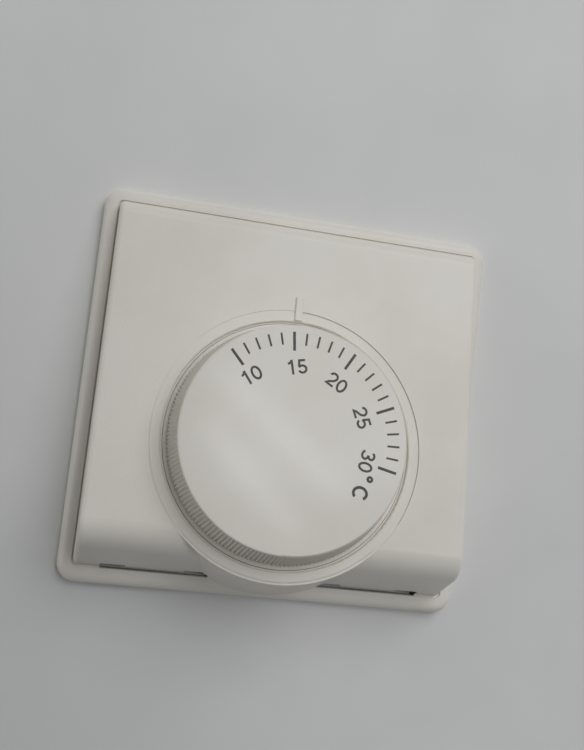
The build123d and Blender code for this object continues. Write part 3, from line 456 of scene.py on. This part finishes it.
# %% Ceramic finishes
FERRITE = (0.02, 0.02, 0.022, 1)
FERRITE_DUST = (0.04, 0.04, 0.04, 1)
LACQUER = (0.34, 0.25, 0.14, 1)
LACQUER_WORN = (0.42, 0.32, 0.2, 1)
finishes["magnet_ceramic"] = plastic(
    "dark ferrite", FERRITE, FERRITE_DUST, roughness=0.5, duller=0.2, grain_depth=0.00008
)
finishes["resistor_body"] = plastic(
    "lacquered ceramic", LACQUER, LACQUER_WORN, roughness=0.35, duller=0.15, grain_depth=0.00006
)
print("finishes in all:", len(finishes))

# %% [markdown]
# ## A finish for each piece
#
# The CAD record names a material slot for each piece. The slots and the finishes above share their
# names, so one loop dresses the whole assembly, and each mesh keeps a single material.

# %% Give each CAD node its finish
for subpart in frame["record"]["subparts"]:
    mesh = nodes[subpart["node"]].data
    mesh.materials.clear()
    mesh.materials.append(finishes[subpart["material_slot"]])

# %% [markdown]
# ## Helpers for pieces
#
# Blender's operators work on whatever is selected, so each of these starts by selecting just what
# it needs. The last two put a flat piece in its place and join several pieces to one.

# %% Helpers for pieces


def deselect_all():
    if bpy.context.object and bpy.context.object.mode != "OBJECT":
        bpy.ops.object.mode_set(mode="OBJECT")
    bpy.ops.object.select_all(action="DESELECT")


def select_only(pieces):
    deselect_all()
    for piece in pieces:
        piece.select_set(True)
    bpy.context.view_layer.objects.active = pieces[0]


def settle(piece, place):
    """Puts a flat piece where place says and leaves its object at the origin, unturned."""
    select_only([piece])
    piece.matrix_world = place @ piece.matrix_world
    bpy.ops.object.transform_apply(location=True, rotation=True, scale=True)


def join_pieces(pieces, name):
    select_only(pieces)
    bpy.ops.object.join()
    joined = bpy.context.object
    joined.name = name
    return joined


print("piece helpers ready")

# %% [markdown]
# ## Lip of the well and seam of the collar
#
# The knob sits in a round well. A thin lip round the well's wall closes most of the gap beside the
# knob's flange, so that no dust falls in. Outside it, the collar meets the cover in a shallow
# seam. Both are bands: a small rectangle that is spun round the dial's axis.

# %% Bands round the dial
BAND_STEPS = 180
BAND_SOFTNESS = 3
SMOOTH_BELOW = radians(50)
MERGE_WITHIN = 0.001 * MM


def band(name, radii, levels, span, edge):
    """A band round the dial's axis, from one angle of span to the other, with softened edges."""
    deselect_all()
    bpy.ops.mesh.primitive_plane_add(size=1, rotation=(pi / 2, 0, 0))
    made = bpy.context.object
    made.name = name
    made.scale = (radii[1] - radii[0], levels[1] - levels[0], 1)
    made.location = ((radii[0] + radii[1]) / 2, 0, (levels[0] + levels[1]) / 2)
    bpy.ops.object.transform_apply(location=True, rotation=True, scale=True)
    made.rotation_euler = (0, 0, radians(span[0]))
    bpy.ops.object.transform_apply(rotation=True)
    bpy.ops.object.mode_set(mode="EDIT")
    bpy.ops.mesh.select_all(action="SELECT")
    whole = span[1] - span[0] >= 360
    turn = radians(span[1] - span[0])
    bpy.ops.mesh.spin(steps=BAND_STEPS, angle=turn, center=(0, 0, 0), axis=(0, 0, 1))
    bpy.ops.mesh.select_all(action="SELECT")
    bpy.ops.mesh.remove_doubles(threshold=MERGE_WITHIN)
    if whole:
        bpy.ops.mesh.select_all(action="DESELECT")
        bpy.ops.mesh.select_interior_faces()
        bpy.ops.mesh.delete(type="FACE")
        bpy.ops.mesh.select_all(action="SELECT")
    bpy.ops.mesh.normals_make_consistent(inside=False)
    bpy.ops.object.mode_set(mode="OBJECT")
    soften = made.modifiers.new("soften", "BEVEL")
    soften.width = edge
    soften.segments = BAND_SOFTNESS
    soften.limit_method = "ANGLE"
    bpy.ops.object.modifier_apply(modifier=soften.name)
    bpy.ops.object.shade_smooth_by_angle(angle=SMOOTH_BELOW)
    made.data.materials.append(finishes["casing"])
    settle(made, dial_plane)
    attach(made, "base")
    return made


WELL_RADIUS = 26.2 * MM
COLLAR_RADIUS = 28.4 * MM
LIP_WIDTH = 0.35 * MM
SEAM_WIDTH = 0.3 * MM
OVERLAP = 0.03 * MM
LIP_LEVELS, LIP_EDGE = (-1.6 * MM, -0.62 * MM), 0.06 * MM
SEAM_LEVELS, SEAM_EDGE = (-0.35 * MM, -0.12 * MM), 0.02 * MM
FULL_TURN = (0, 360)
ABOVE_FOOT = (-30, 210)
well_lip = band(
    "well_lip",
    (WELL_RADIUS - LIP_WIDTH, WELL_RADIUS + OVERLAP),
    LIP_LEVELS,
    FULL_TURN,
    LIP_EDGE,
)
collar_seam = band(
    "collar_seam",
    (COLLAR_RADIUS - OVERLAP, COLLAR_RADIUS + SEAM_WIDTH + OVERLAP),
    SEAM_LEVELS,
    ABOVE_FOOT,
    SEAM_EDGE,
)
print("bands:", [len(piece.data.polygons) for piece in (well_lip, collar_seam)])

# %% [markdown]
# ## The printed scale
#
# The scale is dark grey ink, printed on the knob's face: a mark for each degree from 10 to 30,
# a longer and thicker one each five degrees, and their numbers. Ink from a printing pad is a film
# about two hundredths of a millimetre thick. A text object would bring a typeface of its own, so
# each figure is drawn as one or two strokes of even width, as a sign painter would, and the
# strokes are cut from a thin sheet.

# %% Thickness of the ink
INK = 0.02 * MM
INK_SINK = 0.01 * MM
print(f"ink film {INK / MM:.2f} mm")

# %% The scale's marks
DEGREE_STEP = radians(7.2)
LEAST = 10
GREATEST = 30
LEAST_ANGLE = radians(131.2)
MAJOR_FROM, MAJOR_TO, MAJOR_WIDTH = 17.95 * MM, 21.95 * MM, 0.58 * MM
MINOR_FROM, MINOR_TO, MINOR_WIDTH = 19.25 * MM, 21.8 * MM, 0.42 * MM
INK_CORNER = 0.05 * MM
CORNER_STEPS = 2


def angle_of(reading):
    """Angle of a reading's mark, counted from the right of the dial against the clock."""
    return LEAST_ANGLE - (reading - LEAST) * DEGREE_STEP


def printed_mark(reading):
    major = reading % 5 == 0
    near, far = (MAJOR_FROM, MAJOR_TO) if major else (MINOR_FROM, MINOR_TO)
    width = MAJOR_WIDTH if major else MINOR_WIDTH
    turn = Matrix.Rotation(angle_of(reading), 4, "Z")
    middle = turn @ Vector(((near + far) / 2, 0, knob_face + (INK - INK_SINK) / 2))
    deselect_all()
    bpy.ops.mesh.primitive_cube_add(size=1, location=middle, rotation=(0, 0, angle_of(reading)))
    mark = bpy.context.object
    mark.scale = (far - near, width, INK + INK_SINK)
    bpy.ops.object.transform_apply(location=True, rotation=True, scale=True)
    corners = mark.modifiers.new("corners", "BEVEL")
    corners.width = INK_CORNER
    corners.segments = CORNER_STEPS
    corners.limit_method = "ANGLE"
    bpy.ops.object.modifier_apply(modifier=corners.name)
    return mark


marks = [printed_mark(reading) for reading in range(LEAST, GREATEST + 1)]
scale_marks = join_pieces(marks, "scale_marks")
settle(scale_marks, dial_plane)
print("marks:", len(marks))

# %% [markdown]
# ## The scale's figures
#
# A figure is a few strokes of even width. Each stroke is a line of points, worked out from arcs
# of ellipses and straight runs, in units of the figure's height. Its outline becomes a filled
# flat curve with a little thickness, and the curve is converted to a mesh. Where two strokes
# meet, as in the 3, a Boolean modifier joins them to one clean sheet.

# %% Strokes of the figures


def arc(middle, radii, start, end, steps=24):
    """Points on an arc of an ellipse, from one angle to another, in degrees."""
    turns = [radians(start + (end - start) * i / steps) for i in range(steps + 1)]
    return [Vector((middle[0] + radii[0] * cos(a), middle[1] + radii[1] * sin(a))) for a in turns]


def run(*points):
    return [Vector(point) for point in points]


FIGURES = {
    "0": [arc((0.34, 0.5), (0.265, 0.42), 90, 450, 48)],
    "1": [run((0.40, 0.0), (0.40, 1.0)), arc((0.12, 1.0), (0.26, 0.235), -90, -8, 10)],
    "2": [
        arc((0.34, 0.69), (0.255, 0.232), 175, -28)
        + run((0.49, 0.45), (0.21, 0.235), (0.10, 0.08), (0.64, 0.08)),
    ],
    "3": [
        arc((0.33, 0.725), (0.225, 0.197), 165, -95),
        arc((0.335, 0.29), (0.265, 0.212), 95, -165),
    ],
    "5": [
        run((0.58, 0.92), (0.185, 0.92), (0.115, 0.48)),
        arc((0.33, 0.32), (0.26, 0.242), 148, -160),
    ],
    "C": [arc((0.40, 0.5), (0.36, 0.42), 40, 320, 36)],
    "o": [arc((0.0, 0.0), (0.145, 0.145), 0, 360, 32)],
}
STROKE = 0.155
CLOSED_WITHIN = 0.001
SHARPEST = 0.5
print("figures:", " ".join(FIGURES))

# %% From a stroke to a sheet of ink


def borders(points, width):
    """The two sides of a stroke: its points moved half the width to the left and to the right."""
    closed = (points[0] - points[-1]).length < CLOSED_WITHIN
    path = points[:-1] if closed else points
    sides = ([], [])
    for i, point in enumerate(path):
        before = path[i - 1] if i or closed else point
        after = path[(i + 1) % len(path)] if i + 1 < len(path) or closed else point
        first = (point - before).normalized() if (point - before).length else None
        second = (after - point).normalized() if (after - point).length else None
        along = ((first or second) + (second or first)).normalized()
        reach = width / 2 / max(along.dot(first or second), SHARPEST)
        across = Vector((-along.y, along.x)) * reach
        sides[0].append(point + across)
        sides[1].append(point - across)
    return closed, sides


def ink_sheet(points, height, stroke):
    closed, (left, right) = borders(points, stroke)
    loops = [left, right] if closed else [left + right[::-1]]
    curve = bpy.data.curves.new("stroke", "CURVE")
    curve.dimensions = "2D"
    curve.fill_mode = "BOTH"
    curve.extrude = (INK + INK_SINK) / 2
    for loop in loops:
        line = curve.splines.new("POLY")
        line.points.add(len(loop) - 1)
        for spot, point in zip(line.points, loop):
            spot.co = (point.x * height, point.y * height, 0, 1)
        line.use_cyclic_u = True
    sheet = bpy.data.objects.new("stroke", curve)
    bpy.context.scene.collection.objects.link(sheet)
    select_only([sheet])
    bpy.ops.object.convert(target="MESH")
    bpy.ops.object.mode_set(mode="EDIT")
    bpy.ops.mesh.select_all(action="SELECT")
    bpy.ops.mesh.remove_doubles(threshold=MERGE_WITHIN)
    bpy.ops.mesh.normals_make_consistent(inside=False)
    bpy.ops.object.mode_set(mode="OBJECT")
    return bpy.context.object


def figure(name, height, stroke):
    first, *others = [ink_sheet(points, height, stroke) for points in FIGURES[name]]
    for other in others:
        select_only([first])
        merge = first.modifiers.new("merge", "BOOLEAN")
        merge.operation = "UNION"
        merge.solver = "EXACT"
        merge.object = other
        bpy.ops.object.modifier_apply(modifier=merge.name)
        bpy.data.objects.remove(other)
    first.name = f"figure_{name}"
    return first


print("strokes are cut from a sheet of", round((INK + INK_SINK) / MM, 3), "mm")

# %% Place the figures on the dial
FIGURE_HEIGHT = 3.05 * MM
LETTER_HEIGHT = 3.3 * MM
BOLD_STROKE = 0.175
SPACING = 2.4 * MM


def set_figure(name, radius, angle, up, shift=0.0, stroke=STROKE, height=FIGURE_HEIGHT):
    """A figure on the dial, its middle at a radius and an angle, and its top where up points."""
    made = figure(name, height, stroke)
    spots = [v.co for v in made.data.vertices]
    middle_x = (min(p.x for p in spots) + max(p.x for p in spots)) / 2
    middle_y = (min(p.y for p in spots) + max(p.y for p in spots)) / 2
    a = radians(angle)
    lift = knob_face + (INK - INK_SINK) / 2
    spot = Matrix.Translation((radius * cos(a), radius * sin(a), lift))
    turn = Matrix.Rotation(radians(up) - pi / 2, 4, "Z")
    settle(made, dial_plane @ spot @ turn @ Matrix.Translation((shift - middle_x, -middle_y, 0)))
    return made


# each row: the number, the radius and angle of its middle, and the angle its top points to
NUMBERS = [
    ("10", 15.3 * MM, 130.9, 126.5),
    ("15", 14.6 * MM, 93.6, 102.5),
    ("20", 14.6 * MM, 58.1, 58.5),
    ("25", 14.7 * MM, 23.2, 21.5),
    ("30", 15.4 * MM, -11.4, -11.5),
]
DEGREE_RADIUS, DEGREE_ANGLE = 17.3 * MM, -22.5
LETTER_RADIUS, LETTER_ANGLE = 17.0 * MM, -33.7
LAST_UP = NUMBERS[-1][-1]
figures = []
for number, radius, angle, up in NUMBERS:
    for name, shift in zip(number, (-SPACING / 2, SPACING / 2)):
        figures.append(set_figure(name, radius, angle, up, shift))
figures.append(set_figure("o", DEGREE_RADIUS, DEGREE_ANGLE, LAST_UP, stroke=BOLD_STROKE))
figures.append(
    set_figure("C", LETTER_RADIUS, LETTER_ANGLE, LAST_UP, stroke=BOLD_STROKE, height=LETTER_HEIGHT)
)
figures_printed = len(figures)
scale_figures = join_pieces(figures, "scale_figures")
print("figures printed:", figures_printed)

# %% [markdown]
# ## Ink
#
# The ink is a dull dark grey that has faded a little in places. Marks and figures share it, and
# both ride on the dial's body, so they turn with the knob.

# %% Ink
INK_GREY = (0.045, 0.047, 0.045, 1)
INK_FADED = (0.075, 0.077, 0.072, 1)
INK_ROUGHNESS = 0.5
INK_PATCH_SCALE = 900.0


def tinted(name, colour, patch_colour, roughness, patch_scale):
    """A plain surface whose colour varies in soft patches."""
    made, tree, shader = new_material(name, Roughness=roughness)
    tint = use_group(
        tree, soft_patches, Colour=colour, Patch_Colour=patch_colour, Patch_Scale=patch_scale
    )
    join(tree, tint.outputs["Colour"], shader.inputs["Base Color"])
    return made, tree, shader


dial_ink, _, _ = tinted("dial ink", INK_GREY, INK_FADED, INK_ROUGHNESS, INK_PATCH_SCALE)
for piece in (scale_marks, scale_figures):
    piece.data.materials.clear()
    piece.data.materials.append(dial_ink)
    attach(piece, "dial")
print("inked")

# %% [markdown]
# ## Stage
#
# The thermostat lies with its back on a plain pale table top, which is also what a wall would be.
# Seen from behind, the table would hide the back of the case, so its material lets a ray that
# meets its rear side through, and it throws no shadow. It lies a tenth of a millimetre behind the
# plate, so that the two surfaces never coincide.

# %% Table
TABLE_SIZE = 3.0
TABLE_GAP = 0.1 * MM
TABLE_COLOUR = (0.72, 0.725, 0.715, 1)
TABLE_WORN = (0.66, 0.665, 0.66, 1)
TABLE_ROUGHNESS = 0.55
TABLE_PATCH_SCALE = 9.0
deselect_all()
bpy.ops.mesh.primitive_plane_add(
    size=TABLE_SIZE, location=(0, TABLE_GAP, 0), rotation=(pi / 2, 0, 0)
)
table = bpy.context.object
table.name = "table_top"
bpy.ops.object.transform_apply(location=True, rotation=True, scale=True)
table.visible_shadow = False
table_paint, tree, shader = tinted(
    "table paint", TABLE_COLOUR, TABLE_WORN, TABLE_ROUGHNESS, TABLE_PATCH_SCALE
)
side = add_node(tree, "ShaderNodeNewGeometry")
clear = add_node(tree, "ShaderNodeBsdfTransparent")
choose = add_node(tree, "ShaderNodeMixShader")
join(tree, side.outputs["Backfacing"], choose.inputs["Fac"])
join(tree, shader.outputs["BSDF"], choose.inputs[1])
join(tree, clear.outputs["BSDF"], choose.inputs[2])
join(tree, choose.outputs["Shader"], tree.nodes["Material Output"].inputs["Surface"])
table.data.materials.append(table_paint)
print("table normal", tuple(round(c) for c in table.data.polygons[0].normal))

# %% [markdown]
# ## Light
#
# The light is broad, soft and high on the right, as from a window: it grazes the wall of the case
# at the left and under the foot, and leaves a soft shadow there. A weaker broad panel fills the
# shadows, and one behind lights the back for views from there.

# %% Lamps
AIM = Vector((0, -0.01, -0.005))


def soft_panel(name, place, size, watts, aim=AIM):
    deselect_all()
    bpy.ops.object.light_add(type="AREA", location=place)
    lamp = bpy.context.object
    lamp.name = name
    lamp.data.shape = "RECTANGLE"
    lamp.data.size, lamp.data.size_y = size
    lamp.data.energy = watts
    lamp.rotation_euler = (Vector(place) - aim).to_track_quat("Z", "Y").to_euler()
    return lamp


# each row: the lamp's name, its place and size in metres, and its power in watts
PANELS = [
    ("window", (0.75, -1.5, 1.2), (1.5, 1.5), 18.2),
    ("fill", (-1.2, -0.42, 0.0), (0.8, 0.8), 3.4),
    ("back_panel", (0.2, 0.8, 0.5), (0.8, 0.8), 5.0),
]
for name, place, size, watts in PANELS:
    soft_panel(name, place, size, watts)
print("lamps:", len(PANELS))

# %% [markdown]
# ## A dark card
#
# Whoever looks at the thermostat from so near shades it a little. A dark card at the lower left,
# which the camera doesn't see, takes light away from that corner.

# %% Shade card
CARD_SIZE = 0.5
CARD_CORNER = Vector((-0.01, -0.24, 0.055))
CARD_BLACK = (0.05, 0.05, 0.05, 1)
CARD_ROUGHNESS = 0.8
deselect_all()
bpy.ops.mesh.primitive_plane_add(size=CARD_SIZE, rotation=(pi / 2, 0, 0))
card = bpy.context.object
card.name = "shade_card"
card.location = CARD_CORNER - Vector((CARD_SIZE / 2, 0, CARD_SIZE / 2))
bpy.ops.object.transform_apply(location=True, rotation=True, scale=True)
card.visible_camera = False
card_paint, _, _ = new_material("card paint", Base_Color=CARD_BLACK, Roughness=CARD_ROUGHNESS)
card.data.materials.append(card_paint)
print("card reaches", tuple(round(c, 3) for c in CARD_CORNER))

# %% [markdown]
# ## Streaks on the knob
#
# The polished face mirrors two bright strips of the room. Where a lamp has to stand for that is
# plain optics: the line from the camera to a spot of the face is mirrored in the face, and the
# lamp is put on it, 0.9 m away. A strip is given by the two spots that its image joins, as X and Y
# on the dial in millimetres.

# %% Streaks of light on the knob's face
FACE_OUT = (dial_plane.to_3x3() @ Vector((0, 0, 1))).normalized()
FACE_MIDDLE = dial_plane @ Vector((0, 0, knob_face))
STREAKS = [((-16.0, 12.0), (11.0, -10.3)), ((-19.0, 2.0), (2.3, -19.4))]
STREAK_WIDTH = 3.2 * MM
PANE_DISTANCE = 0.9
PANE_LIGHT = 6.0


def seen_mirrored(spot, normal):
    """The place, a pane's distance away, that the camera sees mirrored at a spot."""
    ray = (spot - CAMERA_PLACE).normalized()
    return spot + (ray - 2 * ray.dot(normal) * normal) * PANE_DISTANCE


def pane(name, ends, normal, width, radiance):
    """A narrow lamp whose mirror image runs between two spots of a surface."""
    low, high = [seen_mirrored(spot, normal) for spot in ends]
    magnified = (high - low).length / (ends[1] - ends[0]).length
    along = (high - low).normalized()
    away = ((low + high) / 2 - FACE_MIDDLE).normalized()
    across = away.cross(along).normalized()
    deselect_all()
    bpy.ops.object.light_add(type="AREA", location=(low + high) / 2)
    lamp = bpy.context.object
    lamp.name = name
    lamp.data.shape = "RECTANGLE"
    lamp.data.size = (high - low).length
    lamp.data.size_y = width * magnified
    lamp.data.energy = radiance * pi * lamp.data.size * lamp.data.size_y
    lamp.rotation_euler = Matrix((along, across, along.cross(across))).transposed().to_euler()
    return lamp


for number, ends in enumerate(STREAKS, 1):
    spots = [dial_plane @ Vector((x * MM, y * MM, knob_face)) for x, y in ends]
    lamp = pane(f"pane_{number}", spots, FACE_OUT, STREAK_WIDTH, PANE_LIGHT)
    print(lamp.name, [round(c, 3) for c in lamp.location], round(lamp.data.energy, 3), "W")

# %% [markdown]
# ## Gleam at the foot
#
# The cover rolls over at its foot, and the roll mirrors a low, wide window sill. The same rule as
# above finds its place, with the direction in which the roll faces.

# %% Gleam along the foot of the cover
ROLL_MIDDLE = Vector((0, -19.3, -31.5)) * MM
ROLL_TILT = radians(4.9)
SILL_SIZE = (0.6, 0.16)
SILL_WATTS = 0.9
roll_normal = Vector((0, -cos(ROLL_TILT), sin(ROLL_TILT)))
sill_place = seen_mirrored(ROLL_MIDDLE, roll_normal)
sill = soft_panel("sill", sill_place, SILL_SIZE, SILL_WATTS, ROLL_MIDDLE)
print(sill.name, [round(c, 3) for c in sill.location])

# %% [markdown]
# ## Room
#
# A pale, slightly cool room lights every side evenly and keeps the shadows open.

# %% Room and view
ROOM_COLOUR = (0.95, 0.96, 1.0, 1)
ROOM_STRENGTH = 0.22
sky = bpy.data.worlds.new("pale room")
sky.use_nodes = True
backdrop = sky.node_tree.nodes["Background"]
backdrop.inputs["Color"].default_value = ROOM_COLOUR
backdrop.inputs["Strength"].default_value = ROOM_STRENGTH
bpy.context.scene.world = sky
bpy.context.scene.view_settings.view_transform = "Standard"
print("room strength", ROOM_STRENGTH)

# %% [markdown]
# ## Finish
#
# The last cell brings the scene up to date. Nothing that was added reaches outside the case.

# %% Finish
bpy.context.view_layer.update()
